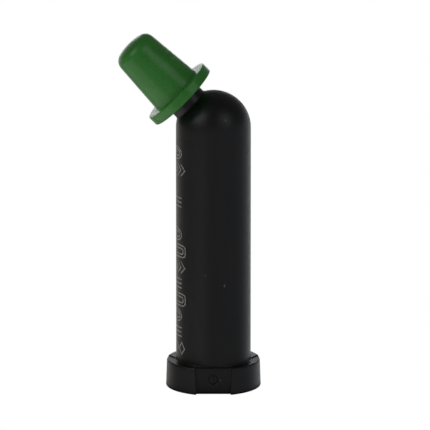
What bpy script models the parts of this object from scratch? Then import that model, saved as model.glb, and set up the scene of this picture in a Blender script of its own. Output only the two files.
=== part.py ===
"""A prefilled capsule of dental filling composite, as clipped into a dispenser gun.

Sizes below are in millimetres and become metres when a mesh is made. The barrel stands on its
rear flange with +Z along the barrel. The nozzle leans towards -X at NOZZLE_TILT from +Z, and its
axis runs through the centre of the domed front end, so dome, collar, nozzle and cap are all turned
about that one line. The origin is under the middle of the whole capsule, at the rear face.
"""

import math

import bmesh
import bpy
from mathutils import Vector

MM = 0.001

# Barrel and dome, about the barrel axis
BARREL_R = 3.05
BORE_R = 2.10
DOME_Z = 21.67  # height of the dome's centre; the barrel is straight below it
BORE_MOUTH = 0.25  # chamfer at the rear of the bore
ROOT_FILLET = 0.16

# Rear flange, drafted so that it narrows towards the front
FLANGE_REAR_R = 3.90
FLANGE_FRONT_R = 3.82
FLANGE_H = 2.28
FLANGE_EDGE = 0.08

# Gate relief: a flat notch in the flange's rim, with a ring groove round the gate mark
NOTCH_FLAT = 3.32  # from the barrel axis to the flat
NOTCH_REAR_W = 2.74
NOTCH_FRONT_W = 3.00
GATE_Z = 1.18
GATE_R = 0.37
GATE_NUB_R = 0.17
GATE_DEPTH = 0.12

# Nozzle, along its own axis from the dome's centre
NOZZLE_TILT = math.radians(45)
COLLAR_R = 1.54
COLLAR_END = 3.42
COLLAR_LEG = 0.24  # chamfer in the corner between collar and dome
NOZZLE_ROOT_R = 1.30
NOZZLE_TIP_R = 0.96
NOZZLE_END = 8.50
NOZZLE_EDGE = 0.08  # chamfer round the collar's end and the nozzle's
NOZZLE_ROOT_S = 1.70  # inside the bore, which is cut out of it afterwards
CHANNEL_ROOT_R = 0.95
CHANNEL_TIP_R = 0.60

# Cap, along the nozzle axis
CAP_START = 3.48
CAP_END = 9.75
BRIM_R = 3.12
BRIM_T = 0.84
BRIM_EDGE = 0.09
CROWN_ROOT_R = 2.20
CROWN_TIP_R = 1.84
CROWN_ROUND = 0.85
CROWN_ROUND_END = 84  # degrees round the shoulder, where the gently domed end takes over
CROWN_BULGE = 0.13
CROWN_FILLET = 0.14
SOCKET_LEAD_IN = 0.15
CAP_FIT = 0.06  # radial gap between nozzle and socket
SOCKET_END = 8.56

# Piston, from its rear face, and the dose of composite in front of it
PISTON_SKIRT = 3.10
LIP_R = 2.06
WAIST_R = 1.84
NOSE_R = 1.80
NOSE_H = 1.95
STROKE = 6.10
STROKE_SPARE = 0.10  # what the nose stops short of the dome's centre plane
PASTE_GAP = 0.03
PASTE_RECESS = 0.15  # what the paste stops short of the nozzle's end

OVERCUT = 1.0  # how far a cutter stands out of what it cuts
SLIVER = 0.012  # edges shorter than this are welded away
ROUND_STEPS = 48
NOZZLE_STEPS = 40
GATE_STEPS = 24
ARC_STEPS = 10
SHOULDER_STEPS = 7
FILLET_STEPS = 3
SHARP_ANGLE = math.radians(28)

BLACK = (0.011, 0.011, 0.012, 1)
GREEN = (0.071, 0.385, 0.059, 1)
GREY = (0.16, 0.17, 0.18, 1)
CREAM = (0.72, 0.63, 0.47, 1)


def arc(centre_r, centre_z, radius_r, radius_z, start, end, steps):
    """Points (r, z) on an ellipse, from start to end in degrees, counted from +r towards +z."""
    turns = [math.radians(start + (end - start) * i / steps) for i in range(steps + 1)]
    return [(centre_r + radius_r * math.cos(t), centre_z + radius_z * math.sin(t)) for t in turns]


def material(name, colour, roughness):
    made = bpy.data.materials.new(name)
    made.use_nodes = True
    shader = made.node_tree.nodes["Principled BSDF"]
    shader.inputs["Base Color"].default_value = colour
    shader.inputs["Roughness"].default_value = roughness
    shader.inputs["Metallic"].default_value = 0.0
    return made


def lathe(name, profile, steps, parent, skin=None, z=0.0):
    """A solid turned about its own Z. The profile of (r, z) ends on the axis or is closed."""
    shape = bmesh.new()
    points = [shape.verts.new((r * MM, 0, height * MM)) for r, height in profile]
    edges = [shape.edges.new(pair) for pair in zip(points, points[1:])]
    bmesh.ops.spin(
        shape, geom=points + edges, cent=(0, 0, 0), axis=(0, 0, 1), angle=math.tau, steps=steps
    )
    bmesh.ops.remove_doubles(shape, verts=shape.verts, dist=1e-4 * MM)
    bmesh.ops.recalc_face_normals(shape, faces=shape.faces)
    return place(name, shape, parent, skin, (0, 0, z))


def smooth(mesh):
    mesh.shade_smooth()
    mesh.set_sharp_from_angle(angle=SHARP_ANGLE)


def place(name, shape, parent, skin, location):
    mesh = bpy.data.meshes.new(name)
    shape.to_mesh(mesh)
    shape.free()
    smooth(mesh)
    obj = bpy.data.objects.new(name, mesh)
    bpy.context.scene.collection.objects.link(obj)
    obj.parent = parent
    obj.location = Vector(location) * MM
    if skin:
        mesh.materials.append(skin)
    else:
        obj.hide_render = True
        obj.display_type = "WIRE"
    return obj


def axis_empty(name, parent, location, tilt):
    empty = bpy.data.objects.new(name, None)
    bpy.context.scene.collection.objects.link(empty)
    empty.parent = parent
    empty.location = Vector(location) * MM
    empty.rotation_euler = (0, -tilt, 0)
    return empty


def combine(obj, cutters):
    """Apply (other object, operation) pairs in order, and weld the slivers that the cuts leave."""
    for other, operation in cutters:
        modifier = obj.modifiers.new(other.name, "BOOLEAN")
        modifier.operation = operation
        modifier.object = other
    evaluated = obj.evaluated_get(bpy.context.evaluated_depsgraph_get())
    obj.data = bpy.data.meshes.new_from_object(evaluated)
    obj.modifiers.clear()
    shape = bmesh.new()
    shape.from_mesh(obj.data)
    bmesh.ops.remove_doubles(shape, verts=shape.verts, dist=SLIVER * MM)
    shape.to_mesh(obj.data)
    shape.free()
    smooth(obj.data)
    for other, _ in cutters:
        bpy.data.objects.remove(other, do_unlink=True)


def notch_cutter(parent):
    """A block that leaves the flat, wider towards the front as the mould's draft makes it."""
    shape = bmesh.new()
    bmesh.ops.create_cube(shape, size=1)
    near, far = -FLANGE_REAR_R - OVERCUT, -NOTCH_FLAT
    draft = (NOTCH_FRONT_W - NOTCH_REAR_W) / FLANGE_H
    for corner in shape.verts:
        height = -OVERCUT if corner.co.z < 0 else FLANGE_H + OVERCUT
        width = NOTCH_REAR_W + draft * height
        depth = near if corner.co.y < 0 else far
        corner.co = Vector((math.copysign(width / 2, corner.co.x), depth, height)) * MM
    return place("notch_cutter", shape, parent, None, (0, 0, 0))


def gate_cutter(parent):
    """A ring cutter that runs in from the notch's flat and leaves the gate's nub standing."""
    reach = GATE_DEPTH + OVERCUT
    ring = [(GATE_NUB_R, 0), (GATE_R, 0), (GATE_R, reach), (GATE_NUB_R, reach), (GATE_NUB_R, 0)]
    cutter = lathe("gate_cutter", ring, GATE_STEPS, parent)
    cutter.location = Vector((0, -NOTCH_FLAT + GATE_DEPTH, GATE_Z)) * MM
    cutter.rotation_euler = (math.radians(90), 0, 0)
    return cutter


def barrel_profile():
    flange = [
        (0, 0),
        (FLANGE_REAR_R - FLANGE_EDGE, 0),
        (FLANGE_REAR_R, FLANGE_EDGE),
        (FLANGE_FRONT_R, FLANGE_H - FLANGE_EDGE),
        (FLANGE_FRONT_R - FLANGE_EDGE, FLANGE_H),
    ]
    root_r, root_z = BARREL_R + ROOT_FILLET, FLANGE_H + ROOT_FILLET
    root = arc(root_r, root_z, ROOT_FILLET, ROOT_FILLET, 270, 180, FILLET_STEPS)
    dome = arc(0, DOME_Z, BARREL_R, BARREL_R, 0, 90, ARC_STEPS)
    return flange + root + dome[:-1] + [(0, DOME_Z + BARREL_R)]


def nozzle_profile():
    """Collar and nozzle, with a chamfer that runs on into the dome's wall."""
    corner = math.sqrt(BARREL_R**2 - COLLAR_R**2)
    foot_angle = math.asin(COLLAR_R / BARREL_R) + COLLAR_LEG / BARREL_R
    top = Vector((COLLAR_R, corner + COLLAR_LEG))
    foot = Vector((math.sin(foot_angle), math.cos(foot_angle))) * BARREL_R
    buried = foot + (foot - top).normalized() * COLLAR_LEG
    return [
        (0, NOZZLE_ROOT_S),
        (buried.x, NOZZLE_ROOT_S),
        tuple(buried),
        tuple(top),
        (COLLAR_R, COLLAR_END - NOZZLE_EDGE),
        (COLLAR_R - NOZZLE_EDGE, COLLAR_END),
        (NOZZLE_ROOT_R, COLLAR_END),
        (NOZZLE_TIP_R, NOZZLE_END - NOZZLE_EDGE),
        (NOZZLE_TIP_R - NOZZLE_EDGE, NOZZLE_END),
        (0, NOZZLE_END),
    ]


def channel_r(s):
    """Radius of the channel through the nozzle, at a distance s along it."""
    share = (s - BORE_R) / (NOZZLE_END - BORE_R)
    return CHANNEL_ROOT_R + (CHANNEL_TIP_R - CHANNEL_ROOT_R) * share


def make_body(barrel_axis, nozzle_axis, skin):
    body = lathe("capsule_body", barrel_profile(), ROUND_STEPS, barrel_axis, skin)
    nozzle = lathe("nozzle_form", nozzle_profile(), NOZZLE_STEPS, nozzle_axis)
    bore_arc = arc(0, DOME_Z, BORE_R, BORE_R, 0, 90, ARC_STEPS)
    bore = [
        (0, -OVERCUT),
        (BORE_R + BORE_MOUTH + OVERCUT, -OVERCUT),
        (BORE_R, BORE_MOUTH),
        *bore_arc[:-1],
        (0, DOME_Z + BORE_R),
    ]
    inner, outer = BORE_R - OVERCUT, NOZZLE_END + OVERCUT
    channel = [(0, inner), (channel_r(inner), inner), (channel_r(outer), outer), (0, outer)]
    cutters = [
        (nozzle, "UNION"),
        (lathe("bore_cutter", bore, ROUND_STEPS, barrel_axis), "DIFFERENCE"),
        (lathe("channel_cutter", channel, NOZZLE_STEPS, nozzle_axis), "DIFFERENCE"),
        (notch_cutter(barrel_axis), "DIFFERENCE"),
        (gate_cutter(barrel_axis), "DIFFERENCE"),
    ]
    combine(body, cutters)


def crown_profile():
    """The cap's crown, from the brim up its drafted side and over its rounded end."""
    base = CAP_START + BRIM_T
    lean = (CROWN_ROOT_R - CROWN_TIP_R) / (CAP_END - CROWN_ROUND - base)
    shoulder_r = CROWN_TIP_R - CROWN_ROUND
    shoulder_s = CAP_END - CROWN_BULGE - CROWN_ROUND
    foot_r, foot_s = CROWN_ROOT_R + CROWN_FILLET, base + CROWN_FILLET
    foot = arc(foot_r, foot_s, CROWN_FILLET, CROWN_FILLET, 270, 180, FILLET_STEPS)
    start = math.degrees(math.atan(lean))
    over = arc(
        shoulder_r, shoulder_s, CROWN_ROUND, CROWN_ROUND, start, CROWN_ROUND_END, SHOULDER_STEPS
    )
    rim_r, rim_s = over[-1]
    middle = [(rim_r * share, CAP_END - (CAP_END - rim_s) * share**2) for share in (0.75, 0.45, 0)]
    return foot + over + middle


def cap_profile():
    base = CAP_START + BRIM_T
    mouth = NOZZLE_ROOT_R + CAP_FIT
    return [
        (0, SOCKET_END),
        (NOZZLE_TIP_R + CAP_FIT, SOCKET_END),
        (mouth, CAP_START + SOCKET_LEAD_IN),
        (mouth + SOCKET_LEAD_IN, CAP_START),
        (BRIM_R - BRIM_EDGE, CAP_START),
        (BRIM_R, CAP_START + BRIM_EDGE),
        (BRIM_R, base - BRIM_EDGE),
        (BRIM_R - BRIM_EDGE, base),
        *crown_profile(),
    ]


def piston_profile():
    """From the bottom of the rear recess round the two sealing lips to the tip of the nose."""
    edge = 0.12
    lip = 0.50
    recess_r = 1.10
    recess_depth = 1.50
    return [
        (0, recess_depth),
        (recess_r - edge, recess_depth),
        (recess_r, 0),
        (LIP_R - 2 * edge, 0),
        (LIP_R, edge),
        (LIP_R, lip),
        (WAIST_R, lip + 2 * edge),
        (WAIST_R, PISTON_SKIRT - lip - 2 * edge),
        (LIP_R, PISTON_SKIRT - lip),
        (LIP_R, PISTON_SKIRT - edge),
        (LIP_R - edge, PISTON_SKIRT),
        *arc(0, PISTON_SKIRT, NOSE_R, NOSE_H, 0, 90, ARC_STEPS)[:-1],
        (0, PISTON_SKIRT + NOSE_H),
    ]


def charge_profile(nose_z):
    """The composite between the piston's nose and the dome, as a slug that clears both."""
    reach = BORE_R - PASTE_GAP
    hollow = arc(0, nose_z, NOSE_R + PASTE_GAP, NOSE_H + PASTE_GAP, 90, 0, ARC_STEPS)
    front = arc(0, DOME_Z, reach, reach, 0, 90, ARC_STEPS)
    rim = nose_z + PASTE_GAP
    return [
        (0, hollow[0][1]),
        *hollow[1:-1],
        (NOSE_R + PASTE_GAP, rim),
        (reach, rim),
        *front[:-1],
        (0, DOME_Z + reach),
    ]


def nozzle_fill_profile():
    start = BORE_R + PASTE_GAP
    edge_r = channel_r(start) - PASTE_GAP
    edge_s = math.sqrt(start**2 - edge_r**2)
    end = NOZZLE_END - PASTE_RECESS
    return [
        (0, start),
        (edge_r / 2, math.sqrt(start**2 - (edge_r / 2) ** 2)),
        (edge_r, edge_s),
        (channel_r(end) - PASTE_GAP, end),
        (0, end),
    ]


def cap_reach():
    """How far the cap's crown stands out from the barrel axis, measured along -X."""
    across, along = math.cos(NOZZLE_TILT), math.sin(NOZZLE_TILT)
    return max(s * along + r * across for r, s in crown_profile())


def build():
    for obj in list(bpy.data.objects):
        bpy.data.objects.remove(obj, do_unlink=True)
    barrel_x = (cap_reach() - FLANGE_REAR_R) / 2
    nose_z = DOME_Z - STROKE - STROKE_SPARE
    barrel_axis = axis_empty("barrel_axis", None, (barrel_x, 0, 0), 0)
    nozzle_axis = axis_empty("nozzle_axis", barrel_axis, (0, 0, DOME_Z), NOZZLE_TILT)
    black = material("body_black", BLACK, roughness=0.42)
    green = material("cap_green", GREEN, roughness=0.3)
    grey = material("piston_grey", GREY, roughness=0.5)
    cream = material("composite_cream", CREAM, roughness=0.4)
    make_body(barrel_axis, nozzle_axis, black)
    lathe("tip_cap", cap_profile(), NOZZLE_STEPS, nozzle_axis, green)
    piston_z = nose_z - PISTON_SKIRT
    lathe("piston", piston_profile(), ROUND_STEPS, barrel_axis, grey, piston_z)
    lathe("composite_charge", charge_profile(nose_z), ROUND_STEPS, barrel_axis, cream)
    lathe("composite_in_nozzle", nozzle_fill_profile(), NOZZLE_STEPS, nozzle_axis, cream)


build()
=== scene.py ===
"""Looks of a prefilled dental composite capsule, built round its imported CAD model.

The moulded body is one closed mesh of rings. They start at the rear face, climb the flange and the
barrel, cross the dome to the collar, run out along the nozzle, and come back inside it through the
channel, the inner dome and the bore. Sizes are in millimetres until a mesh is made.
"""

import cmath
import math

import bmesh
import bpy
from mathutils import Matrix, Vector


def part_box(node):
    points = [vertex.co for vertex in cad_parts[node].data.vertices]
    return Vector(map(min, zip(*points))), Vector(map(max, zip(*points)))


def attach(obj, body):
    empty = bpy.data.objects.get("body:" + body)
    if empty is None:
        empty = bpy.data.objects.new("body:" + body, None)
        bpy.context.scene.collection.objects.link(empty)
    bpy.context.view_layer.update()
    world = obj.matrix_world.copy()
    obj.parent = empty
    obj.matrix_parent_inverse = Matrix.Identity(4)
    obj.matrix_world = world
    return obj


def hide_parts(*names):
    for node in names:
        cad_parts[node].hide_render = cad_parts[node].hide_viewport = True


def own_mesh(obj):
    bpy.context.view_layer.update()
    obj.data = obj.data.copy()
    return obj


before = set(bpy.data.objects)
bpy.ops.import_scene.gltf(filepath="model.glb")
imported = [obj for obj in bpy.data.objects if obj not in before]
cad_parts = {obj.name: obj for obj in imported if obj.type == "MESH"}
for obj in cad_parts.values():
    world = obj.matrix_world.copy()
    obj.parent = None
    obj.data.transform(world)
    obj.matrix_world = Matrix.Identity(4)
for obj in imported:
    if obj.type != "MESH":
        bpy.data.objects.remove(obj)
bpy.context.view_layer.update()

MM = 0.001


def box_mm(node):
    """A node's lowest and highest corners, in millimetres."""
    low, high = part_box(node)
    return low / MM, high / MM


# What the frame fixes
piston_low, piston_high = box_mm("piston")
charge_low, charge_high = box_mm("composite_charge")
body_high = box_mm("capsule_body")[1]
cap_low, cap_high = box_mm("tip_cap")
AXIS_X = (piston_low.x + piston_high.x) / 2
CHARGE_R = (charge_high.x - charge_low.x) / 2
DOME_Z = charge_high.z - CHARGE_R
LIP_R = (piston_high.x - piston_low.x) / 2
FLANGE_REAR_R = body_high.x - AXIS_X
BRIM_R = (cap_high.y - cap_low.y) / 2

TILT = math.radians(45)
DOME = Vector((AXIS_X, 0, DOME_Z))
ALONG = Vector((-math.sin(TILT), 0, math.cos(TILT)))  # the nozzle's axis, outwards
UPHILL = Vector((math.cos(TILT), 0, math.sin(TILT)))  # across it, away from the barrel's rear
FRONT = Vector((0, -1, 0))
UP = Vector((0, 0, 1))
ACROSS = Vector((1, 0, 0))

# Barrel, dome and bore
BARREL_R = 3.05
BORE_R = 2.10
ROOT_FILLET = 0.03
BORE_MOUTH = 0.25  # how far the lead-in at the bore's open end reaches, along and across
BORE_PLAIN_END = BORE_MOUTH + 0.4
WITNESS_Z = DOME_Z - 0.53
WITNESS_DEPTH = 0.005
WITNESS_HALF_W = 0.034
WITNESS_CLEAR = 0.3  # from the last plain ring of the barrel to the groove's middle

# Flange and gate notch
FLANGE_FRONT_R = FLANGE_REAR_R - 0.08
FLANGE_H = 2.28
FLANGE_EDGE = 0.11
REAR_CIRCLE_R = BARREL_R - 0.05  # the first ring, on the rear face
PARTING_STEP = 0.065  # the half ahead of the parting plane is this much lower
PARTING_SWING = math.radians(14)  # how far the step leans back by the time it reaches the rim
PARTING_SWING_REACH = math.radians(60)  # how far round the rim the columns lean with it
NOTCH_FLAT = 3.32
NOTCH_REAR_W = 2.74
NOTCH_FRONT_W = 3.00
NOTCH_ROUND = 0.055
NOTCH_OFF = math.radians(34.5)  # where the notch's corner ends, round from its middle

# Gate mark: a ring groove round a low nub, in a square of the notch's flat
GATE_Z = 1.18
GATE_CELL = 0.11
GATE_CELLS = 10  # the square's cells each way
GATE_HALF = GATE_CELL * GATE_CELLS / 2
GATE_GROOVE_R = 0.365
GATE_GROOVE_HALF_W = 0.042
GATE_GROOVE_DEPTH = 0.055
GATE_NUB_R = 0.11
GATE_NUB_H = 0.04
GATE_DISC_R = 0.33
GATE_DISC_LIFT = 0.012
GATE_RINGS = (0.49, 0.45, 0.42, 0.395, 0.365, 0.335, 0.31, 0.28, 0.22, 0.16, 0.11, 0.06)

# Nozzle
COLLAR_R = 1.54
COLLAR_END = 3.42
COLLAR_FILLET = 0.27
COLLAR_FOOT_R = COLLAR_R + COLLAR_FILLET
COLLAR_FOOT_S = math.sqrt((BARREL_R + COLLAR_FILLET) ** 2 - COLLAR_FOOT_R**2)
COLLAR_EDGE = 0.07
NOZZLE_ROOT_R = 1.30
NOZZLE_ROOT_ROUND = 0.05
NOZZLE_TIP_R = 0.96
NOZZLE_END = 8.50
TIP_EDGE = 0.13
TIP_INNER_EDGE = 0.05
CHANNEL_ROOT_R = 0.95
CHANNEL_ROOT_S = BORE_R * 0.9
CHANNEL_TIP_R = 0.60
CHANNEL_LIP = 0.06  # the rounded edge where the channel meets the inner dome

# Parting ridge, over the dome and down both sides
PARTING_RIDGE = 0.012
PARTING_HALF_W = 0.032

# The body's mesh
ROUND_COLUMNS = 120
CORNER_POINTS = 8
COLUMN_GAP = math.radians(1.2)  # the least between the notch's corner and the next round column
BARREL_RINGS = 16
DOME_RINGS = 22
BORE_RINGS = 12
BORE_DOME_RINGS = 14
TIP_RINGS = 6  # the rings at the tip that the parting ridge doesn't reach
OUTER_BETA = math.asin(COLLAR_FOOT_R / (BARREL_R + COLLAR_FILLET))
INNER_BETA = math.asin((CHANNEL_ROOT_R + CHANNEL_LIP) / BORE_R)

# Cap
CAP_START = 3.48
CAP_END = 9.75
BRIM_END = CAP_START + 0.84
CROWN_ROOT_R = 2.20
CROWN_TIP_R = 1.84
CROWN_ROUND = 0.86
CROWN_ROUND_END = 76  # degrees from the side: where the shoulder's round meets the domed end
CROWN_BULGE = 0.13
CROWN_FILLET = 0.05
BRIM_EDGE = 0.09
SOCKET_END = 8.56
SOCKET_LEAD_IN = 0.15
CAP_FIT = 0.06

# Piston and composite
NOSE_R = 1.80
NOSE_H = 1.95
WAIST_R = 1.84
LIP_H = 0.50
LIP_SLOPE = 0.24
RECESS_R = 1.10
RECESS_H = 1.50
PASTE_GAP = 0.03
PASTE_EDGE = 0.05
PASTE_RECESS = 0.15  # from the nozzle's end in to the paste
PASTE_DOME = 0.07


# ---------------------------------------------------------------- shapes


def arc(centre_r, centre_z, radius_r, radius_z, start, end, steps):
    """Points (r, z) on an ellipse, from start to end in degrees, counted from +r towards +z."""
    turns = [math.radians(start + (end - start) * i / steps) for i in range(steps + 1)]
    return [(centre_r + radius_r * math.cos(t), centre_z + radius_z * math.sin(t)) for t in turns]


def spread(start, end, count):
    """count points after start, up to and with end, evenly spaced."""
    return [start + (end - start) * i / count for i in range(1, count + 1)]


def rounded(points, radii, steps=4):
    """An open outline of (r, z) with each inner corner rounded by its radius."""
    made = [points[0]]
    for before, corner, after, radius in zip(points, points[1:], points[2:], radii):
        here = Vector(corner)
        back = (Vector(before) - here).normalized()
        on = (Vector(after) - here).normalized()
        half = math.acos(max(-1.0, min(1.0, back.dot(on)))) / 2
        if radius == 0 or abs(half - math.pi / 2) < 1e-4:
            made.append(corner)
            continue
        reach = radius / math.tan(half)
        centre = here + (back + on).normalized() * (radius / math.sin(half))
        first = here + back * reach - centre
        last = here + on * reach - centre
        turn = first.angle_signed(last)
        for i in range(steps + 1):
            made.append(tuple(centre + Matrix.Rotation(-turn * i / steps, 2) @ first))
    return [*made, points[-1]]


def subdivided(profile, longest):
    """The same outline with no segment longer than longest."""
    made = [profile[0]]
    for a, b in zip(profile, profile[1:]):
        count = max(1, math.ceil((Vector(b) - Vector(a)).length / longest))
        made += [tuple(Vector(a).lerp(Vector(b), i / count)) for i in range(1, count + 1)]
    return made


def mesh_object(name, shape, material, smooth_angle=50):
    """A smooth-shaded object in metres from a bmesh in millimetres. Creases over the angle stay."""
    bmesh.ops.recalc_face_normals(shape, faces=shape.faces)
    bmesh.ops.scale(shape, vec=(MM, MM, MM), verts=shape.verts)
    mesh = bpy.data.meshes.new(name)
    shape.to_mesh(mesh)
    shape.free()
    mesh.shade_smooth()
    mesh.set_sharp_from_angle(angle=math.radians(smooth_angle))
    mesh.materials.append(material)
    obj = bpy.data.objects.new(name, mesh)
    bpy.context.scene.collection.objects.link(obj)
    return obj


def add_rings(shape, rings, closed):
    """Joins rings of the same number of points with quads, the last back to the first if closed."""
    made = [[shape.verts.new(point) for point in ring] for ring in rings]
    pairs = list(zip(made, made[1:]))
    if closed:
        pairs.append((made[-1], made[0]))
    for low, high in pairs:
        for i in range(len(low)):
            j = (i + 1) % len(low)
            shape.faces.new((low[i], low[j], high[j], high[i]))
    return made


def lathe_solid(name, profile, steps, origin, axis, side, material):
    """A closed solid turned about axis, from a profile of (r, s) that starts and ends on it."""
    shape = bmesh.new()
    across = axis.cross(side)
    turns = [math.tau * i / steps for i in range(steps)]
    rings = []
    for r, s in profile[1:-1]:
        ring = [origin + axis * s + (side * math.cos(t) + across * math.sin(t)) * r for t in turns]
        rings.append(ring)
    made = add_rings(shape, rings, closed=False)
    for ring, (_, s) in ((made[0], profile[0]), (made[-1], profile[-1])):
        pole = shape.verts.new(origin + axis * s)
        for i in range(steps):
            shape.faces.new((ring[i], ring[(i + 1) % steps], pole))
    return mesh_object(name, shape, material)


# ---------------------------------------------------------------- the moulded body


def mobius(point, strength):
    """A map of the unit disc onto itself that slides its middle along the real axis."""
    return (point + strength) / (1 + strength * point)


def circle_map(beta):
    """The slide that centres the circle at beta round the nozzle, and that circle's radius then."""
    near = math.tan((TILT - beta) / 2)
    far = math.tan((TILT + beta) / 2)
    total = 2 * (1 + near * far) / (near + far)
    strength = (total - math.sqrt(total**2 - 4)) / 2
    return strength, abs(mobius(near, -strength))


def dome_rings(radius, beta, count):
    """Rings on a dome, from its equator to the circle at beta round the nozzle's axis."""
    strength, least = circle_map(beta)
    starts = [mobius(cmath.exp(1j * column.turn), -strength) for column in COLUMNS]
    rings = []
    for step in range(count + 1):
        shrink = least ** (step / count)
        ring = []
        for start in starts:
            flat = mobius(start * shrink, strength)
            size = abs(flat) ** 2
            up = Vector((-2 * flat.real, -2 * flat.imag, 1 - size)) / (1 + size)
            ring.append(DOME + up * radius)
        rings.append(ring)
    return rings


class Column:
    """One line of the body's mesh. turn is its angle round the barrel: 0 at -X, 90 degrees at -Y.

    kind says where it runs on the flange: "gate" and "flat" on the notch's flat, "corner" round the
    notch's corner, "round" on the rim, and "parting" on the rim at the mould's parting line. value
    is its place there: x in millimetres, a share of the flat, or a corner point's number.
    """

    def __init__(self, turn, kind, value=0.0, side=1):
        self.turn = turn
        self.kind = kind
        self.value = value
        self.side = side
        self.off_front = abs((turn - math.pi / 2 + math.pi) % math.tau - math.pi)
        self.parting = 1.0 if kind == "parting" else 0.0
        self.ahead = self.off_front < math.pi / 2 - 1e-4 and kind != "parting"


def notch_columns(side):
    """The columns from beside the notch's middle out to the flange's round rim, on one side."""
    middle_half_w = (NOTCH_REAR_W + NOTCH_FRONT_W) / 4
    flat_end = middle_half_w - NOTCH_ROUND
    flat = [("gate", GATE_CELL * i) for i in range(1, GATE_CELLS // 2 + 1)]
    flat += [("flat", share) for share in (0.25, 0.5, 0.75)]
    made = []
    for kind, value in flat:
        x = value if kind == "gate" else GATE_HALF + (flat_end - GATE_HALF) * value
        made.append((math.asin(x / BARREL_R), kind, value))
    first = math.asin(flat_end / BARREL_R)
    for i in range(CORNER_POINTS):
        off = first + (NOTCH_OFF - first) * i / (CORNER_POINTS - 1)
        made.append((off, "corner", i))
    return [Column(math.pi / 2 + side * off, kind, value, side) for off, kind, value in made]


def make_columns():
    """Every column, in order round the barrel."""
    strength, _ = circle_map(OUTER_BETA)
    half = (1 - math.sqrt(1 - strength**2)) / strength
    ridge = PARTING_HALF_W / BARREL_R
    made = [Column(math.pi / 2, "gate", 0.0)]
    for side in (-1, 1):
        made += notch_columns(side)
    for i in range(ROUND_COLUMNS):
        turn = cmath.phase(mobius(cmath.exp(1j * math.tau * i / ROUND_COLUMNS), half)) % math.tau
        if i in (0, ROUND_COLUMNS // 2):
            made.append(Column(turn, "parting"))
            made += [Column((turn + off) % math.tau, "round") for off in (-ridge, ridge)]
        elif Column(turn, "round").off_front > NOTCH_OFF + COLUMN_GAP:
            made.append(Column(turn, "round"))
    return sorted(made, key=lambda column: column.turn)


def notch_half_w(z, inset):
    """Half the notch's width at a height, widened by inset where the edges are rounded."""
    return (NOTCH_REAR_W + (NOTCH_FRONT_W - NOTCH_REAR_W) * z / FLANGE_H) / 2 + inset


def corner_point(index, z, inset):
    """A point of the notch's corner: a fillet up to its wall, then a rounded edge to the rim."""
    half_w = notch_half_w(z, inset)
    flat = NOTCH_FLAT - inset
    rim = flange_r(z) - inset - NOTCH_ROUND
    steps = CORNER_POINTS // 2 - 1
    if index <= steps:
        turn = math.radians(90 - 90 * index / steps)
        centre = (half_w - NOTCH_ROUND, -flat - NOTCH_ROUND)
    else:
        out = math.sqrt(rim**2 - (half_w + NOTCH_ROUND) ** 2)
        centre = (half_w + NOTCH_ROUND, -out)
        last = math.tau + math.atan2(centre[1], centre[0])
        turn = math.pi + (last - math.pi) * (index - steps - 1) / steps
    return centre[0] + NOTCH_ROUND * math.cos(turn), centre[1] + NOTCH_ROUND * math.sin(turn)


def flange_r(z):
    """The drafted rim's radius at a height."""
    return FLANGE_REAR_R + (FLANGE_FRONT_R - FLANGE_REAR_R) * z / FLANGE_H


def outline_point(column, z, inset):
    """A column's point (x, y) on the flange's outline, drawn in by inset."""
    half_w = notch_half_w(z, inset)
    if column.kind == "gate":
        return column.side * column.value, -(NOTCH_FLAT - inset)
    if column.kind == "flat":
        x = GATE_HALF + (half_w - NOTCH_ROUND - GATE_HALF) * column.value
        return column.side * x, -(NOTCH_FLAT - inset)
    last_x, last_y = corner_point(CORNER_POINTS - 1, z, inset)
    if column.kind == "corner":
        x, y = corner_point(column.value, z, inset)
        return column.side * x, y
    rim = flange_r(z) - inset
    off = column.off_front
    if off < math.pi / 2:
        last = math.atan2(last_x, -last_y)
        off = last + (math.pi / 2 - last) * (off - NOTCH_OFF) / (math.pi / 2 - NOTCH_OFF)
    off += PARTING_SWING * max(0.0, 1 - abs(off - math.pi / 2) / PARTING_SWING_REACH)
    x = rim * math.sin(off)
    return (-x if math.cos(column.turn) > 0 else x), -rim * math.cos(off)


def outline_ring(z, inset=0.0, step=0.0):
    """The flange's outline at a height. step lowers the half ahead of the mould's parting plane."""
    ring = []
    for column in COLUMNS:
        x, y = outline_point(column, z, inset)
        ring.append(Vector((AXIS_X + x, y, z - (step if column.ahead else 0))))
    return ring


def barrel_ring(radius, z, ridge=1.0, step=0.0):
    """A circle round the barrel's axis, with a share of the parting ridge on its two columns."""
    ring = []
    for column in COLUMNS:
        r = radius + column.parting * PARTING_RIDGE * ridge
        x, y = -r * math.cos(column.turn), -r * math.sin(column.turn)
        ring.append(Vector((AXIS_X + x, y, z - (step if column.ahead else 0))))
    return ring


def between(ring, other, share):
    """Points a share of the way from one ring to the other."""
    return [a.lerp(b, share) for a, b in zip(ring, other)]


def turns_about_nozzle(ring):
    """Each point's angle round the nozzle's axis: 0 uphill, 90 degrees in front."""
    made = []
    for point in ring:
        arm = point - DOME
        made.append(math.atan2(arm.dot(FRONT), arm.dot(UPHILL)))
    return made


def even_turns(turns):
    """The same number of angles, evenly spaced from the column that is furthest uphill."""
    first = min(range(len(turns)), key=lambda i: abs(turns[i]))
    step = -math.tau / len(turns)
    return [step * (i - first) for i in range(len(turns))]


def nozzle_ring(r, s, turns, ridge=0.0):
    """A circle round the nozzle's axis, s along it from the dome's middle."""
    ring = []
    for column, turn in zip(COLUMNS, turns):
        reach = r + column.parting * PARTING_RIDGE * ridge
        ring.append(DOME + ALONG * s + (UPHILL * math.cos(turn) + FRONT * math.sin(turn)) * reach)
    return ring


def mixed(turns, other, share):
    """Angles a share of the way from turns to other, the short way round."""
    smooth = share * share * (3 - 2 * share)
    gaps = [(b - a + math.pi) % math.tau - math.pi for a, b in zip(turns, other)]
    return [a + gap * smooth for a, gap in zip(turns, gaps)]


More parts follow.
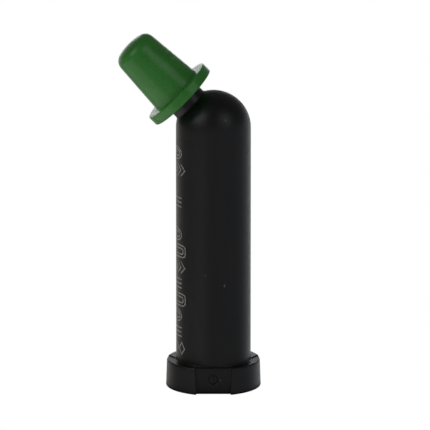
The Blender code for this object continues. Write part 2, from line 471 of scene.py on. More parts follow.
def flange_rings():
    """From the circle on the rear face out, up the flange's side and in to the barrel's root."""
    edge = FLANGE_EDGE
    gate_low = GATE_Z - GATE_HALF
    gate_high = GATE_Z + GATE_HALF
    circle = barrel_ring(REAR_CIRCLE_R, 0, ridge=0)
    rings = [circle, between(circle, outline_ring(0, edge), 0.5)]
    quarter = [math.radians(90 * i / 4) for i in range(5)]
    rings += [outline_ring(edge * (1 - math.cos(t)), edge * (1 - math.sin(t))) for t in quarter]
    rings += [outline_ring(z) for z in spread(edge, gate_low, 4)]
    rings += [outline_ring(z) for z in spread(gate_low, gate_high, GATE_CELLS)]
    rings.append(outline_ring((gate_high + FLANGE_H - edge) / 2))
    top = FLANGE_H - edge
    for t in quarter:
        rings.append(outline_ring(top + edge * math.sin(t), edge * (1 - math.cos(t)), PARTING_STEP))
    root = barrel_ring(BARREL_R + ROOT_FILLET, FLANGE_H, 0, PARTING_STEP)
    rings += [between(rings[-1], root, 0.5), root]
    return rings


def barrel_rings():
    """The root fillet and the barrel, with the witness groove a little below the dome."""
    rings = []
    root_z = FLANGE_H + ROOT_FILLET
    for r, z in arc(BARREL_R + ROOT_FILLET, root_z, ROOT_FILLET, ROOT_FILLET, 270, 180, 4)[1:]:
        step = PARTING_STEP * max(0.0, 1 - (z - FLANGE_H) / ROOT_FILLET)
        rings.append(barrel_ring(r, z, 1.0, step))
    plain = spread(root_z, WITNESS_Z - WITNESS_CLEAR, BARREL_RINGS)
    rings += [barrel_ring(BARREL_R, z) for z in plain]
    for across, sunk in ((-2, 0), (-1, 0), (-0.4, 1), (0.4, 1), (1, 0), (2, 0)):
        groove_r = BARREL_R - WITNESS_DEPTH * sunk
        rings.append(barrel_ring(groove_r, WITNESS_Z + WITNESS_HALF_W * across))
    rings.append(barrel_ring(BARREL_R, (WITNESS_Z + DOME_Z) / 2))
    return rings


def ridge_outwards(ring, radius):
    """Raises the parting line's column on a dome ring."""
    made = []
    for column, point in zip(COLUMNS, ring):
        lift = column.parting * PARTING_RIDGE
        made.append(DOME + (point - DOME) * ((radius + lift) / radius))
    return made


def collar_fillet_rings(turns):
    """The fillet between the dome and the collar."""
    start = 270 - math.degrees(OUTER_BETA)
    sweep = arc(COLLAR_FOOT_R, COLLAR_FOOT_S, COLLAR_FILLET, COLLAR_FILLET, start, 180, 6)
    return [nozzle_ring(r, s, turns, 1.0) for r, s in sweep[1:]]


def nozzle_outline():
    """The collar, the nozzle, its tip and the channel back in, as (r, s) on the nozzle's axis."""
    outline = rounded(
        [
            (COLLAR_R, COLLAR_FOOT_S),
            (COLLAR_R, COLLAR_END),
            (NOZZLE_ROOT_R, COLLAR_END),
            (NOZZLE_TIP_R, NOZZLE_END),
            (CHANNEL_TIP_R, NOZZLE_END),
            (CHANNEL_ROOT_R, CHANNEL_ROOT_S),
        ],
        [COLLAR_EDGE, NOZZLE_ROOT_ROUND, TIP_EDGE, TIP_INNER_EDGE],
        steps=4,
    )
    return subdivided(outline, 0.45)[1:]


def nozzle_rings(outline, dome_turns, tip_turns):
    """The collar and the nozzle, out to the tip."""
    rings = []
    for i, (r, s) in enumerate(outline):
        turns = mixed(dome_turns, tip_turns, (s - COLLAR_FOOT_S) / (NOZZLE_END - COLLAR_FOOT_S))
        ridge = 1.0 if i < len(outline) - 1 - TIP_RINGS else 0.0
        rings.append(nozzle_ring(r, s, turns, ridge))
    return rings


def inside_rings(channel, tip_turns):
    """From the tip back through the channel, the inner dome and the bore to the rear face."""
    dome = dome_rings(BORE_R, INNER_BETA, BORE_DOME_RINGS)
    dome_turns = turns_about_nozzle(dome[-1])
    lip_r = BORE_R * math.sin(INNER_BETA)
    lip_s = BORE_R * math.cos(INNER_BETA)
    channel = [point for point in channel if point[1] > lip_s + 2 * CHANNEL_LIP]
    lip = ((lip_r + channel[-1][0]) / 2 - CHANNEL_LIP / 3, lip_s + CHANNEL_LIP)
    rings = []
    for r, s in [*channel, lip]:
        turns = mixed(dome_turns, tip_turns, (s - lip_s) / (NOZZLE_END - lip_s))
        rings.append(nozzle_ring(r, s, turns))
    rings += dome[::-1]
    rings += [barrel_ring(BORE_R, z, 0) for z in spread(DOME_Z, BORE_PLAIN_END, BORE_RINGS)]
    mouth = rounded(
        [(BORE_R, BORE_PLAIN_END), (BORE_R, BORE_MOUTH), (BORE_R + BORE_MOUTH, 0), (BARREL_R, 0)],
        [0.1, 0.08],
    )
    return rings + [barrel_ring(r, z, 0) for r, z in mouth[1:-1]]


def body_rings():
    """Every ring, from the rear face over the outside to the tip, and back through the inside."""
    dome = dome_rings(BARREL_R, OUTER_BETA, DOME_RINGS)
    dome_turns = turns_about_nozzle(dome[-1])
    tip_turns = even_turns(dome_turns)
    outline = nozzle_outline()
    tip = max(range(len(outline)), key=lambda i: outline[i][1])
    rings = flange_rings() + barrel_rings() + [ridge_outwards(ring, BARREL_R) for ring in dome]
    rings += collar_fillet_rings(dome_turns)
    rings += nozzle_rings(outline[: tip + 1], dome_turns, tip_turns)
    return rings + inside_rings(outline[tip + 1 :], tip_turns)


def gate_depth(r):
    """How deep the gate mark is at a distance from its middle."""
    groove = GATE_GROOVE_DEPTH * math.exp(-(((r - GATE_GROOVE_R) / GATE_GROOVE_HALF_W) ** 2))
    nub = GATE_NUB_H * math.exp(-((r / GATE_NUB_R) ** 2))
    return groove - nub - (GATE_DISC_LIFT if r < GATE_DISC_R else 0.0)


def gate_patch(shape, grid, first_ring, columns):
    """Swaps a square of the notch's flat for rings of faces that carry the gate mark."""
    cells = range(GATE_CELLS)
    for row in cells:
        low_row, high_row = grid[first_ring + row], grid[first_ring + row + 1]
        for left, right in zip(columns, columns[1:]):
            corners = (low_row[left], low_row[right], high_row[right], high_row[left])
            face = next(f for f in corners[0].link_faces if all(v in f.verts for v in corners))
            shape.faces.remove(face)
    inner = [grid[first_ring + row][columns[step]] for row in cells[1:] for step in cells[1:]]
    for vertex in inner:
        shape.verts.remove(vertex)
    low, high, left, right = first_ring, first_ring + GATE_CELLS, columns[0], columns[-1]
    border = [grid[low][i] for i in columns[:-1]]
    border += [grid[ring][right] for ring in range(low, high)]
    border += [grid[high][i] for i in columns[:0:-1]]
    border += [grid[ring][left] for ring in range(high, low, -1)]
    middle = Vector((AXIS_X, -NOTCH_FLAT, GATE_Z))
    last = border
    for r in GATE_RINGS:
        ring = []
        for vertex in border:
            arm = (vertex.co - middle).normalized()
            ring.append(shape.verts.new(middle + arm * r + Vector((0, gate_depth(r), 0))))
        for i in range(len(border)):
            j = (i + 1) % len(border)
            shape.faces.new((last[i], last[j], ring[j], ring[i]))
        last = ring
    centre = shape.verts.new(middle + Vector((0, gate_depth(0), 0)))
    for i in range(len(last)):
        shape.faces.new((last[i], last[(i + 1) % len(last)], centre))


def make_body(material):
    """The barrel, dome, nozzle and flange as one closed mesh."""
    shape = bmesh.new()
    grid = add_rings(shape, body_rings(), closed=True)
    gate_low = GATE_Z - GATE_HALF
    first_ring = next(i for i, ring in enumerate(grid) if abs(ring[0].co.z - gate_low) < 1e-6)
    columns = [i for i, column in enumerate(COLUMNS) if column.kind == "gate"]
    columns.sort(key=lambda i: grid[first_ring][i].co.x)
    gate_patch(shape, grid, first_ring, columns)
    return mesh_object("moulded_body", shape, material)


COLUMNS = make_columns()


# ---------------------------------------------------------------- cap, piston and composite


def crown_outline():
    """The cap's crown, from the fillet at the brim up its drafted side and over its domed end."""
    lean = math.atan((CROWN_ROOT_R - CROWN_TIP_R) / (CAP_END - CROWN_ROUND - BRIM_END))
    shadow_start_r = CROWN_ROOT_R + CROWN_FILLET
    painted_shadow = arc(shadow_start_r, BRIM_END + CROWN_FILLET, CROWN_FILLET, CROWN_FILLET, 270, 180, 6)
    shoulder_r = CROWN_TIP_R - CROWN_ROUND
    shoulder_s = CAP_END - CROWN_BULGE - CROWN_ROUND
    start = math.degrees(lean)
    over = arc(shoulder_r, shoulder_s, CROWN_ROUND, CROWN_ROUND, start, CROWN_ROUND_END, 14)
    rim_r, rim_s = over[-1]
    shares = (0.85, 0.68, 0.5, 0.3, 0.12, 0)
    end = [(rim_r * share, CAP_END - (CAP_END - rim_s) * share**2) for share in shares]
    return painted_shadow + over + end


def make_cap(material):
    """The push-on cap: a blind socket with a lead-in, a round brim and the crown."""
    mouth_r = NOZZLE_ROOT_R + CAP_FIT
    crown = crown_outline()
    brim = rounded(
        [
            (0, SOCKET_END),
            (NOZZLE_TIP_R + CAP_FIT, SOCKET_END),
            (mouth_r, CAP_START + SOCKET_LEAD_IN),
            (mouth_r + SOCKET_LEAD_IN, CAP_START),
            (BRIM_R, CAP_START),
            (BRIM_R, BRIM_END),
            crown[0],
        ],
        [0.04, 0.05, 0.05, BRIM_EDGE, BRIM_EDGE],
        steps=5,
    )
    profile = subdivided(brim[:-1] + crown, 0.4)
    return lathe_solid("push_on_cap", profile, 144, DOME, ALONG, UPHILL, material)


def make_piston(material):
    """Two sealing lips with a waist between them, a rounded nose, and a recess in the rear."""
    skirt = (piston_high.z - piston_low.z) - NOSE_H
    profile = rounded(
        [
            (0, RECESS_H),
            (RECESS_R - 0.12, RECESS_H),
            (RECESS_R, 0),
            (LIP_R, 0),
            (LIP_R, LIP_H),
            (WAIST_R, LIP_H + LIP_SLOPE),
            (WAIST_R, skirt - LIP_H - LIP_SLOPE),
            (LIP_R, skirt - LIP_H),
            (LIP_R, skirt),
            (NOSE_R, skirt),
        ],
        [0.35, 0.05, 0.1, 0.06, 0.12, 0.12, 0.06, 0.08],
        steps=5,
    )
    profile += arc(0, skirt, NOSE_R, NOSE_H, 0, 90, 18)[1:]
    origin = Vector((AXIS_X, 0, piston_low.z))
    return lathe_solid("seal_piston", subdivided(profile, 0.3), 96, origin, UP, ACROSS, material)


def make_slug(material):
    """The dose between the piston's nose and the dome."""
    nose_z = piston_high.z - NOSE_H
    rim_r = NOSE_R + PASTE_GAP
    rim_z = nose_z + PASTE_GAP
    hollow = arc(0, nose_z, rim_r, NOSE_H + PASTE_GAP, 90, 0, 18)
    hollow = [point for point in hollow if point[1] > rim_z + PASTE_EDGE / 2]
    rim = [(rim_r, rim_z), (CHARGE_R - PASTE_EDGE, rim_z), (CHARGE_R, rim_z + PASTE_EDGE)]
    front = arc(0, DOME_Z, CHARGE_R, CHARGE_R, 0, 90, 18)
    profile = hollow + rim + front
    origin = Vector((AXIS_X, 0, 0))
    return lathe_solid("paste_slug", subdivided(profile, 0.4), 96, origin, UP, ACROSS, material)


def channel_r(s):
    """The nozzle's channel's radius, s along its axis."""
    share = (s - BORE_R) / (NOZZLE_END - BORE_R)
    return CHANNEL_ROOT_R + (CHANNEL_TIP_R - CHANNEL_ROOT_R) * share


def make_nozzle_fill(material):
    """What stands in the nozzle's channel. Its outer end is slightly domed where it was cut off."""
    start = BORE_R + PASTE_GAP
    edge_r = channel_r(start) - PASTE_GAP
    end = NOZZLE_END - PASTE_RECESS
    end_r = channel_r(end) - PASTE_GAP
    rear = [(r, math.sqrt(start**2 - r**2)) for r in (0, edge_r / 2, edge_r)]
    shares = (1, 0.94, 0.82, 0.6, 0.3, 0)
    front = [(end_r * share, end - PASTE_DOME * share**4) for share in shares]
    profile = subdivided(rear + front, 0.4)
    return lathe_solid("paste_in_nozzle", profile, 64, DOME, ALONG, UPHILL, material)


# ---------------------------------------------------------------- the print on the barrel

PRINT_TURN = math.radians(49)  # the row's front edge, round from -Y towards -X
PRINT_W = 2.4
PRINT_START = 3.45
PRINT_PITCH = 1.36
# From the rear up. An empty name leaves a gap
PRINT_ROW = ["diamonds", "bars", "ring", "pill", "bars", "chevrons", "pill", "ring"]
PRINT_ROW += ["", "bars", "", "chevrons", "ring"]
MARK_HALF_H = 0.5
INK_W = 0.1
INK_LOW_R = BARREL_R - 0.03  # sunk a little into the barrel
INK_TOP_R = BARREL_R + 0.01


def wrapped(u, z, r):
    """A point r from the barrel's axis, u round from the row's front edge and z up the barrel."""
    turn = PRINT_TURN + u / BARREL_R
    return Vector((AXIS_X - r * math.sin(turn), -r * math.cos(turn), z))


def add_stroke(shape, points, closed=True):
    """A flat line of ink along points (u, z), as a thin closed bar wrapped round the barrel."""
    path = subdivided([*points, points[0]] if closed else points, 0.12)
    path = [Vector(point) for point in (path[:-1] if closed else path)]
    count = len(path)
    sections = []
    for i, here in enumerate(path):
        before = path[i - 1] if closed or i else here
        after = path[(i + 1) % count] if closed or i < count - 1 else here
        ways = [step.normalized() for step in (here - before, after - here) if step.length]
        sides = [Vector((-way.y, way.x)) for way in ways]
        mitre = sum(sides, Vector((0, 0)))
        mitre = mitre * (len(sides) / mitre.length_squared) * (INK_W / 2)
        left, right = here - mitre, here + mitre
        corners = ((left, INK_LOW_R), (right, INK_LOW_R), (right, INK_TOP_R), (left, INK_TOP_R))
        sections.append([shape.verts.new(wrapped(*flat, r)) for flat, r in corners])
    pairs = list(zip(sections, sections[1:]))
    if closed:
        pairs.append((sections[-1], sections[0]))
    else:
        shape.faces.new(sections[0])
        shape.faces.new(sections[-1])
    for low, high in pairs:
        for i in range(4):
            j = (i + 1) % 4
            shape.faces.new((low[i], low[j], high[j], high[i]))


def loop(middle_u, middle_z, half_u, half_z, power=2.0, steps=28):
    """A closed oval. A higher power squares its corners."""
    made = []
    for i in range(steps):
        turn = math.tau * (i + 0.5) / steps
        c, s = math.cos(turn), math.sin(turn)
        u = middle_u + half_u * math.copysign(abs(c) ** (2 / power), c)
        made.append((u, middle_z + half_z * math.copysign(abs(s) ** (2 / power), s)))
    return made


def add_mark(shape, kind, z):
    """One plain outlined shape of the row, centred at height z."""
    half = PRINT_W / 2
    low, high = z - MARK_HALF_H, z + MARK_HALF_H
    if kind == "pill":
        add_stroke(shape, loop(half, z, half_u=half, half_z=MARK_HALF_H, power=5.0))
        add_stroke(shape, loop(half, z, half_u=half - 0.28, half_z=0.24, power=5.0))
    if kind == "ring":
        add_stroke(shape, loop(half + 0.25, z, half_u=half - 0.25, half_z=0.52))
        add_stroke(shape, loop(half + 0.25, z, half_u=half - 0.5, half_z=0.27))
    if kind == "bars":
        for off in (-0.36, 0, 0.36):
            add_stroke(shape, [(0.5, z + off), (PRINT_W, z + off)], closed=False)
    if kind == "chevrons":
        for tip in (0.05, 0.6, 1.15):
            end = tip + 0.55
            add_stroke(shape, [(end, high), (tip, z), (end, low)], closed=False)
    if kind == "diamonds":
        for u in (0.5, 1.5):
            add_stroke(shape, [(u - 0.4, z), (u, high), (u + 0.4, z), (u, low)])


def make_print(material):
    """A row of plain outlined shapes up one side of the barrel."""
    shape = bmesh.new()
    for step, kind in enumerate(PRINT_ROW):
        add_mark(shape, kind, PRINT_START + PRINT_PITCH * step)
    return mesh_object("barrel_print", shape, material, smooth_angle=30)


# ---------------------------------------------------------------- materials

# A colour Mix node's sockets share their names, so they are reached by number
MIX_SHARE, MIX_FIRST, MIX_SECOND, MIX_RESULT = 0, 6, 7, 2

# Where the wear is: (centre, reach) in millimetres. One body spot is a painted highlight, not wear
BODY_SPECKS_AND_GLINT = [
    ((2.83, -2.91, 9.0), 0.10),
    ((2.84, -2.91, 9.1), 0.08),
    ((1.28, -2.98, 9.9), 0.06),
    ((2.91, -2.64, 22.8), 0.08),
    ((2.5, -3.32, 1.2), 0.07),
    # painted highlight: a pale spot where the notch's top left corner catches the light
    ((0.31, -3.34, 2.2), 0.10),
]
CAP_SCUFFS = [
    ((-2.0, -0.6, 28.2), 0.5),
    ((-1.4, -0.7, 27.5), 0.4),
    ((-4.5, -1.3, 27.2), 0.3),
]
SCUFF_CORE = 0.1
BRIM_SPECK = (-2.64, -1.91, 22.74)


def new_material(name, roughness, **sockets):
    """A Principled material, its tree and its shader. Underscores in sockets stand for spaces."""
    made = bpy.data.materials.new(name)
    made.use_nodes = True
    shader = made.node_tree.nodes["Principled BSDF"]
    shader.inputs["Roughness"].default_value = roughness
    for socket, value in sockets.items():
        shader.inputs[socket.replace("_", " ")].default_value = value
    return made, made.node_tree, shader


def add_node(tree, kind, inputs=None, **settings):
    """A new node with some of its inputs' values and its own settings filled in."""
    made = tree.nodes.new(kind)
    for name, value in settings.items():
        setattr(made, name, value)
    for name, value in (inputs or {}).items():
        made.inputs[name].default_value = value
    return made


def object_space(tree, scale=(1, 1, 1)):
    """The object's own coordinates in millimetres, stretched by scale."""
    place = add_node(tree, "ShaderNodeTexCoord")
    size = add_node(tree, "ShaderNodeMapping", {"Scale": [s / MM for s in scale]})
    tree.links.new(place.outputs["Object"], size.inputs["Vector"])
    return size.outputs["Vector"]


def noise(tree, space, scale, detail=2.0, rough=0.5):
    """Cloudy values from 0 to 1. scale is about the number of clouds to a millimetre."""
    inputs = {"Scale": scale, "Detail": detail, "Roughness": rough}
    made = add_node(tree, "ShaderNodeTexNoise", inputs)
    tree.links.new(space, made.inputs["Vector"])
    return made.outputs["Fac"]


def ramp(tree, value, stops):
    """Colours for a value. Each stop is (position, colour)."""
    made = add_node(tree, "ShaderNodeValToRGB")
    points = made.color_ramp.elements
    while len(points) < len(stops):
        points.new(0.5)
    for point, (position, colour) in zip(points, stops):
        point.position = position
        point.color = (*colour, 1)
    tree.links.new(value, made.inputs["Fac"])
    return made.outputs["Color"]


def span(tree, value, low, high, from_low=0.3, from_high=0.7):
    """A value brought from one range to another, and kept inside it."""
    ranges = {"From Min": from_low, "From Max": from_high, "To Min": low, "To Max": high}
    made = add_node(tree, "ShaderNodeMapRange", ranges)
    tree.links.new(value, made.inputs["Value"])
    return made.outputs["Result"]


def grey_ramp(tree, value, stops):
    """Levels for a value. Each stop is (position, level)."""
    return ramp(tree, value, [(position, (level,) * 3) for position, level in stops])


def blended(tree, share, first, second, way="MIX"):
    """Two colours mixed by share, or wholly if it is None. Each is an output or a plain colour."""
    made = add_node(tree, "ShaderNodeMix", {MIX_SHARE: 1.0}, data_type="RGBA", blend_type=way)
    for slot, colour in ((MIX_FIRST, first), (MIX_SECOND, second)):
        if isinstance(colour, tuple):
            made.inputs[slot].default_value = (*colour, 1)
        else:
            tree.links.new(colour, made.inputs[slot])
    if share is not None:
        tree.links.new(share, made.inputs[MIX_SHARE])
    return made.outputs[MIX_RESULT]


def bumps(tree, shader, layers):
    """Stacks bump nodes. Each layer is (height output, depth in millimetres)."""
    last = None
    for height, depth in layers:
        made = add_node(tree, "ShaderNodeBump", {"Distance": depth * MM, "Strength": 1.0})
        tree.links.new(height, made.inputs["Height"])
        if last:
            tree.links.new(last, made.inputs["Normal"])
        last = made.outputs["Normal"]
    tree.links.new(last, shader.inputs["Normal"])


def specks(tree, space, scale, size, share):
    """1 inside small round specks, 0 elsewhere. Only that share of the cells has one."""
    cells = add_node(tree, "ShaderNodeTexVoronoi", {"Scale": scale})
    tree.links.new(space, cells.inputs["Vector"])
    near = span(tree, cells.outputs["Distance"], 1, 0, size * 0.5, size)
    split = add_node(tree, "ShaderNodeSeparateColor")
    tree.links.new(cells.outputs["Color"], split.inputs["Color"])
    chosen = add_node(tree, "ShaderNodeMath", {1: share}, operation="LESS_THAN")
    tree.links.new(split.outputs["Red"], chosen.inputs[0])
    return product(tree, near, chosen.outputs[0])


def most(tree, values):
    """The greatest of several values."""
    last = values[0]
    for value in values[1:]:
        made = add_node(tree, "ShaderNodeMath", operation="MAXIMUM")
        tree.links.new(last, made.inputs[0])
        tree.links.new(value, made.inputs[1])
        last = made.outputs[0]
    return last


def product(tree, first, second):
    """One value times another."""
    made = add_node(tree, "ShaderNodeMath", operation="MULTIPLY")
    tree.links.new(first, made.inputs[0])
    tree.links.new(second, made.inputs[1])
    return made.outputs[0]


def spot(tree, space, centre, inner, outer):
    """1 out to inner from centre, falling to 0 at outer."""
    gap = add_node(tree, "ShaderNodeVectorMath", {1: centre}, operation="DISTANCE")
    tree.links.new(space, gap.inputs[0])
    return span(tree, gap.outputs["Value"], 1, 0, inner, outer)


def black_plastic():
    """Satin black moulding: fine grain, faint flow marks along the barrel, a few pale specks and a
    painted highlight at the notch's top left corner.
    """
    made, tree, shader = new_material("black_plastic", 0.42, IOR=1.5)
    deep = (0.0103, 0.0103, 0.0114)
    pale = (0.0145, 0.0143, 0.0156)
    space = object_space(tree)
    flow = noise(tree, object_space(tree, (1, 1, 0.25)), 0.9, 4)
    base = ramp(tree, flow, [(0.3, deep), (0.7, pale)])
    marks = [spot(tree, space, centre, reach / 2, reach) for centre, reach in BODY_SPECKS_AND_GLINT]
    # pale dust specks, and the painted highlight at the notch's corner
    dust_and_glint = most(tree, [specks(tree, space, 1.1, 0.07, 0.018), *marks])
    tree.links.new(blended(tree, dust_and_glint, base, (0.16, 0.16, 0.17)), shader.inputs["Base Color"])
    tree.links.new(span(tree, noise(tree, space, 2.2, 5), 0.35, 0.43), shader.inputs["Roughness"])
    bumps(tree, shader, [(noise(tree, space, 13, 3), 0.0024), (noise(tree, space, 1.3, 2), 0.006)])
    return made


def green_plastic():
    """Cap plastic: a little translucent, faintly clouded, with small scuffs."""
    made, tree, shader = new_material(
        "green_plastic", 0.28, IOR=1.49, Subsurface_Weight=0.15, Subsurface_Scale=0.0004
    )
    shader.inputs["Subsurface Radius"].default_value = (0.5, 1.0, 0.4)
    deep = (0.062, 0.340, 0.050)
    pale = (0.076, 0.385, 0.064)
    space = object_space(tree)
    cloud = noise(tree, space, 0.8, 3)
    base = ramp(tree, cloud, [(0.3, deep), (0.7, pale)])
    hatch = noise(tree, object_space(tree, (0.5, 1.5, 0.8)), 9, 3, 0.6)
    rubbed = span(tree, hatch, 0, 1, 0.52, 0.64)
    patches = [spot(tree, space, centre, SCUFF_CORE, reach) for centre, reach in CAP_SCUFFS]
    scuff = product(tree, rubbed, most(tree, patches))
    chip = spot(tree, space, BRIM_SPECK, 0.03, 0.08)
    marks = most(tree, [scuff, chip])
    tree.links.new(blended(tree, marks, base, (0.42, 0.66, 0.40)), shader.inputs["Base Color"])
    tree.links.new(span(tree, noise(tree, space, 3.0, 5), 0.25, 0.34), shader.inputs["Roughness"])
    bumps(tree, shader, [(noise(tree, space, 12, 2), 0.0014), (noise(tree, space, 1.2, 2), 0.006)])
    return made


def grey_seal():
    """The piston's soft grey plastic: matt and faintly mottled."""
    made, tree, shader = new_material("grey_seal", 0.5)
    deep = (0.14, 0.15, 0.16)
    pale = (0.18, 0.19, 0.20)
    space = object_space(tree)
    base = ramp(tree, noise(tree, space, 1.5, 4), [(0.3, deep), (0.7, pale)])
    tree.links.new(base, shader.inputs["Base Color"])
    tree.links.new(span(tree, noise(tree, space, 4, 4), 0.42, 0.56), shader.inputs["Roughness"])
    bumps(tree, shader, [(noise(tree, space, 10, 3), 0.003)])
    return made


def cream_composite():
    """Filled resin paste: cream, a little translucent, with drag marks from filling."""
    made, tree, shader = new_material(
        "cream_composite", 0.4, IOR=1.53, Subsurface_Weight=0.3, Subsurface_Scale=0.0006
    )
    deep = (0.70, 0.60, 0.43)
    pale = (0.75, 0.66, 0.50)
    space = object_space(tree)
    base = ramp(tree, noise(tree, space, 1.8, 4), [(0.3, deep), (0.7, pale)])
    tree.links.new(base, shader.inputs["Base Color"])
    tree.links.new(span(tree, noise(tree, space, 5, 3), 0.34, 0.48), shader.inputs["Roughness"])
    bumps(tree, shader, [(noise(tree, space, 6, 3), 0.006), (noise(tree, space, 1.5, 2), 0.03)])
    return made


def pale_ink():
    """Printed ink, thin in places so that the plastic shows through."""
    made, tree, shader = new_material("pale_ink", 0.6)
    thin = (0.22, 0.20, 0.18)
    full = (0.62, 0.57, 0.52)
    space = object_space(tree)
    base = ramp(tree, noise(tree, space, 7, 4), [(0.35, thin), (0.55, full)])
    tree.links.new(base, shader.inputs["Base Color"])
    tree.links.new(span(tree, noise(tree, space, 9, 2), 0.5, 0.7), shader.inputs["Roughness"])
    bumps(tree, shader, [(noise(tree, space, 20, 2), 0.002)])
    return made


# ---------------------------------------------------------------- the model

body = make_body(black_plastic())
cap = make_cap(green_plastic())
piston = make_piston(grey_seal())
paste = cream_composite()
slug = make_slug(paste)
nozzle_fill = make_nozzle_fill(paste)
barrel_print = make_print(pale_ink())

for piece, rides_on, node, slot in (
    (body, "body", "capsule_body", "body_black"),
    (cap, "cap", "tip_cap", "cap_green"),
    (piston, "piston", "piston", "piston_grey"),
    (slug, "body", "composite_charge", "composite_cream"),
    (nozzle_fill, "body", "composite_in_nozzle", "composite_cream"),
):
    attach(piece, rides_on)
    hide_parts(node)
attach(barrel_print, "body")
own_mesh(slug)


# ---------------------------------------------------------------- camera, floor and light

CAMERA_AIM = Vector((AXIS_X + 0.13, 0, 14.30))
CAMERA_RISE = math.radians(13)
CAMERA_BACK = 0.55  # metres, as is LIGHT_REACH
CAMERA_LENS = 562.5
FLOOR_HALF_W = 3000
FLOOR_DROP = 0.02  # keeps the floor clear of the flange's rear face
CONTACT_SHADOW_W = 0.9  # how far round the flange the painted contact shadow fades out
LIGHT_REACH = 0.4
LIGHT_POWER = 4  # watts from each square metre of a soft box at level 1

# (0 straight down to 1 straight up, radiance)
GLOW_BY_HEIGHT = [
    (0.0, 0.22),
    (0.15, 0.28),
    (0.28, 0.44),
    (0.39, 0.61),
    (0.46, 0.74),
    (0.505, 0.60),
    (0.55, 0.26),
    (0.61, 0.18),
    (0.68, 0.12),
    (0.85, 0.11),
]
# (0 towards the camera to 1 away from it, share)
GLOW_BY_DEPTH = [
    (0.1, 0.38),
    (0.35, 0.46),
    (0.55, 0.42),
    (0.72, 0.70),
    (0.87, 0.95),
    (0.97, 1.2),
]
# (0 to the left, at -X, to 1 to the right, colour)
GLOW_BY_SIDE = [
    (0.0, (0.42, 0.40, 0.39)),
    (0.07, (0.60, 0.56, 0.54)),
    (0.16, (0.95, 0.89, 0.86)),
    (0.5, (0.98, 0.98, 0.97)),
    (0.8, (1.10, 1.12, 1.16)),
    (1.0, (0.85, 0.88, 0.94)),
]


def add_camera():
    """A long lens in front of the capsule, looking slightly down on it."""
    data = bpy.data.cameras.new("camera")
    data.sensor_width = 36
    data.lens = CAMERA_LENS
    data.clip_start = 0.05
    data.clip_end = 20
    camera = bpy.data.objects.new("camera", data)
    bpy.context.scene.collection.objects.link(camera)
    back = Vector((0, -math.cos(CAMERA_RISE), math.sin(CAMERA_RISE)))
    camera.location = CAMERA_AIM * MM + back * CAMERA_BACK
    camera.rotation_euler = (math.pi / 2 - CAMERA_RISE, 0, 0)
    bpy.context.scene.camera = camera


def seen_or_lighting(tree, seen, lighting, out):
    """Shows one shader to the camera, and the other to what the light reaches."""
    path = add_node(tree, "ShaderNodeLightPath")
    mix = add_node(tree, "ShaderNodeMixShader")
    tree.links.new(path.outputs["Is Camera Ray"], mix.inputs[0])
    tree.links.new(lighting.outputs[0], mix.inputs[1])
    tree.links.new(seen.outputs[0], mix.inputs[2])
    tree.links.new(mix.outputs[0], out.inputs["Surface"])


def add_floor():
    """A white table top. It lets through the glow from below, except for a painted contact shadow
    where the capsule stands.
    """
    made = bpy.data.materials.new("white_floor")
    made.use_nodes = True
    tree = made.node_tree
    tree.nodes.clear()
    seen = add_node(tree, "ShaderNodeEmission", {"Color": (1, 1, 1, 1), "Strength": 1.0})
    glow = add_node(tree, "ShaderNodeBsdfTransparent")
    # painted contact shadow: black under the capsule for light and reflections, fading out round
    # the flange; the camera still sees white
    painted_shadow = add_node(tree, "ShaderNodeEmission", {"Strength": 0.0})
    under = add_node(tree, "ShaderNodeMixShader")
    shadow_start_r = FLANGE_REAR_R + 0.05
    shade = spot(tree, object_space(tree), (AXIS_X, 0, 0), shadow_start_r, FLANGE_REAR_R + CONTACT_SHADOW_W)
    tree.links.new(shade, under.inputs[0])
    tree.links.new(glow.outputs[0], under.inputs[1])
    tree.links.new(painted_shadow.outputs[0], under.inputs[2])
    seen_or_lighting(tree, seen, under, add_node(tree, "ShaderNodeOutputMaterial"))
    shape = bmesh.new()
    bmesh.ops.create_grid(shape, x_segments=1, y_segments=1, size=FLOOR_HALF_W)
    floor = mesh_object("floor", shape, made)
    floor.location.z = -FLOOR_DROP * MM


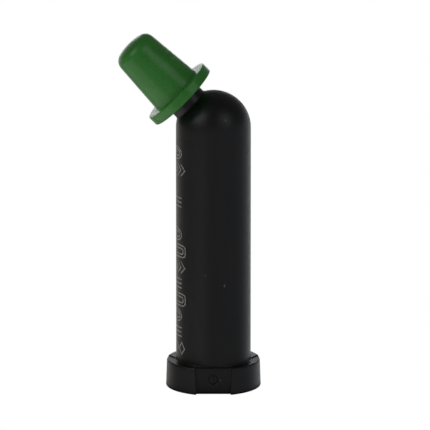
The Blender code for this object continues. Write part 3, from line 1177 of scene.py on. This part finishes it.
def add_world():
    """A white backdrop, and a room whose light comes mostly from the lit table under and behind."""
    world = bpy.data.worlds.new("studio")
    bpy.context.scene.world = world
    world.use_nodes = True
    tree = world.node_tree
    tree.nodes.clear()
    way = add_node(tree, "ShaderNodeTexCoord")
    split = add_node(tree, "ShaderNodeSeparateXYZ")
    tree.links.new(way.outputs["Generated"], split.inputs[0])
    by_height = grey_ramp(tree, span(tree, split.outputs["Z"], 0, 1, -1, 1), GLOW_BY_HEIGHT)
    by_depth = grey_ramp(tree, span(tree, split.outputs["Y"], 0, 1, -1, 1), GLOW_BY_DEPTH)
    tint = ramp(tree, span(tree, split.outputs["X"], 0, 1, -1, 1), GLOW_BY_SIDE)
    level = blended(tree, None, by_height, by_depth, "MULTIPLY")
    colour = blended(tree, None, level, tint, "MULTIPLY")
    room = add_node(tree, "ShaderNodeBackground", {"Strength": 1.0})
    tree.links.new(colour, room.inputs["Color"])
    seen = add_node(tree, "ShaderNodeBackground", {"Color": (1, 1, 1, 1), "Strength": 1.0})
    seen_or_lighting(tree, seen, room, add_node(tree, "ShaderNodeOutputWorld"))


def add_light(name, azimuth, elevation, width, height, level, colour):
    """A soft box that faces the middle of the capsule. Azimuth 0 is the camera's side, 90 is +X."""
    data = bpy.data.lights.new(name, "AREA")
    data.shape = "RECTANGLE"
    data.size = width
    data.size_y = height
    data.energy = level * width * height * LIGHT_POWER
    data.color = colour
    light = bpy.data.objects.new(name, data)
    bpy.context.scene.collection.objects.link(light)
    a, e = math.radians(azimuth), math.radians(elevation)
    away = Vector((math.sin(a) * math.cos(e), -math.cos(a) * math.cos(e), math.sin(e)))
    middle = Vector((0, 0, body_high.z / 2 * MM))
    light.location = middle + away * LIGHT_REACH
    light.rotation_euler = away.to_track_quat("Z", "Y").to_euler()
    light.visible_camera = False


add_camera()
add_floor()
add_world()
add_light("left_box", -53, 35, 0.24, 0.23, 0.88, (0.97, 0.99, 1))
add_light("right_box", 44, 31, 0.21, 0.24, 0.54, (0.96, 0.98, 1))
add_light("table_left", -66, -50, 0.60, 0.40, 0.44, (1, 0.99, 0.96))
add_light("backdrop", 180, 5, 0.22, 0.12, 0.98, (0.97, 0.98, 1))
bpy.context.scene.view_settings.view_transform = "Standard"
